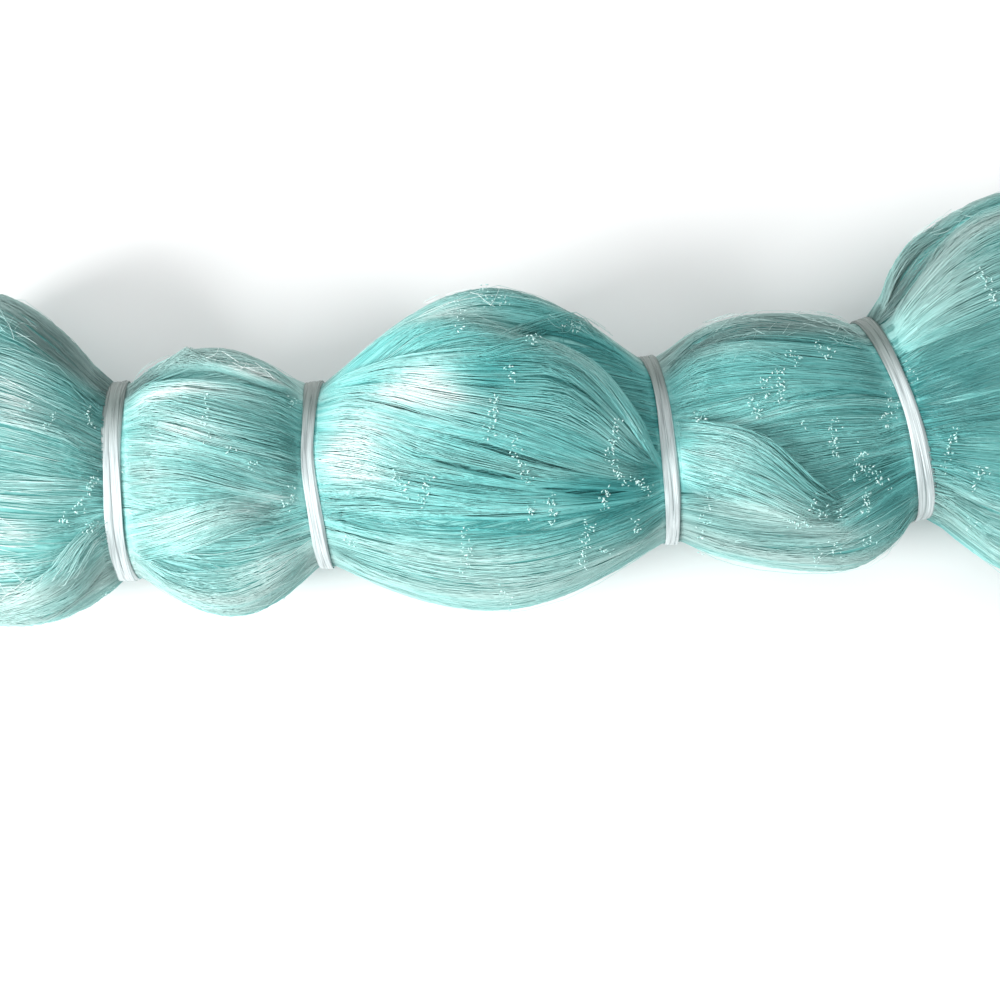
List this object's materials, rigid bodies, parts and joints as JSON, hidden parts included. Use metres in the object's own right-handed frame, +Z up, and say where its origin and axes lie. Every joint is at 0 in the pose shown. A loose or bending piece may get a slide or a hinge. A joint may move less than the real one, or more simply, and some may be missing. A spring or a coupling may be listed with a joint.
{
  "type": "bundled fishing net",
  "caption": "Monofilament fishing net gathered lengthwise into a soft bundle and drawn in by film ties, so that it swells into lobes, lying flat on a surface.",
  "frame": {"origin": "middle of the bounding box, at the level of the surface that the bundle lies on", "axes": "+X along the bundle, from its narrow end lobe to its wide one; +Y towards its back edge in the picture's top; +Z up"},
  "size_m": [0.678, 0.2306, 0.1353],
  "materials": {
    "netting": "glossy nylon monofilament",
    "tie_film": "soft gloss"
  },
  "bodies": {
    "root": {"net_hank": "netting", "tie_band_1": "tie_film", "tie_band_2": "tie_film", "tie_band_3": "tie_film", "tie_band_4": "tie_film"}
  },
  "joints": []
}
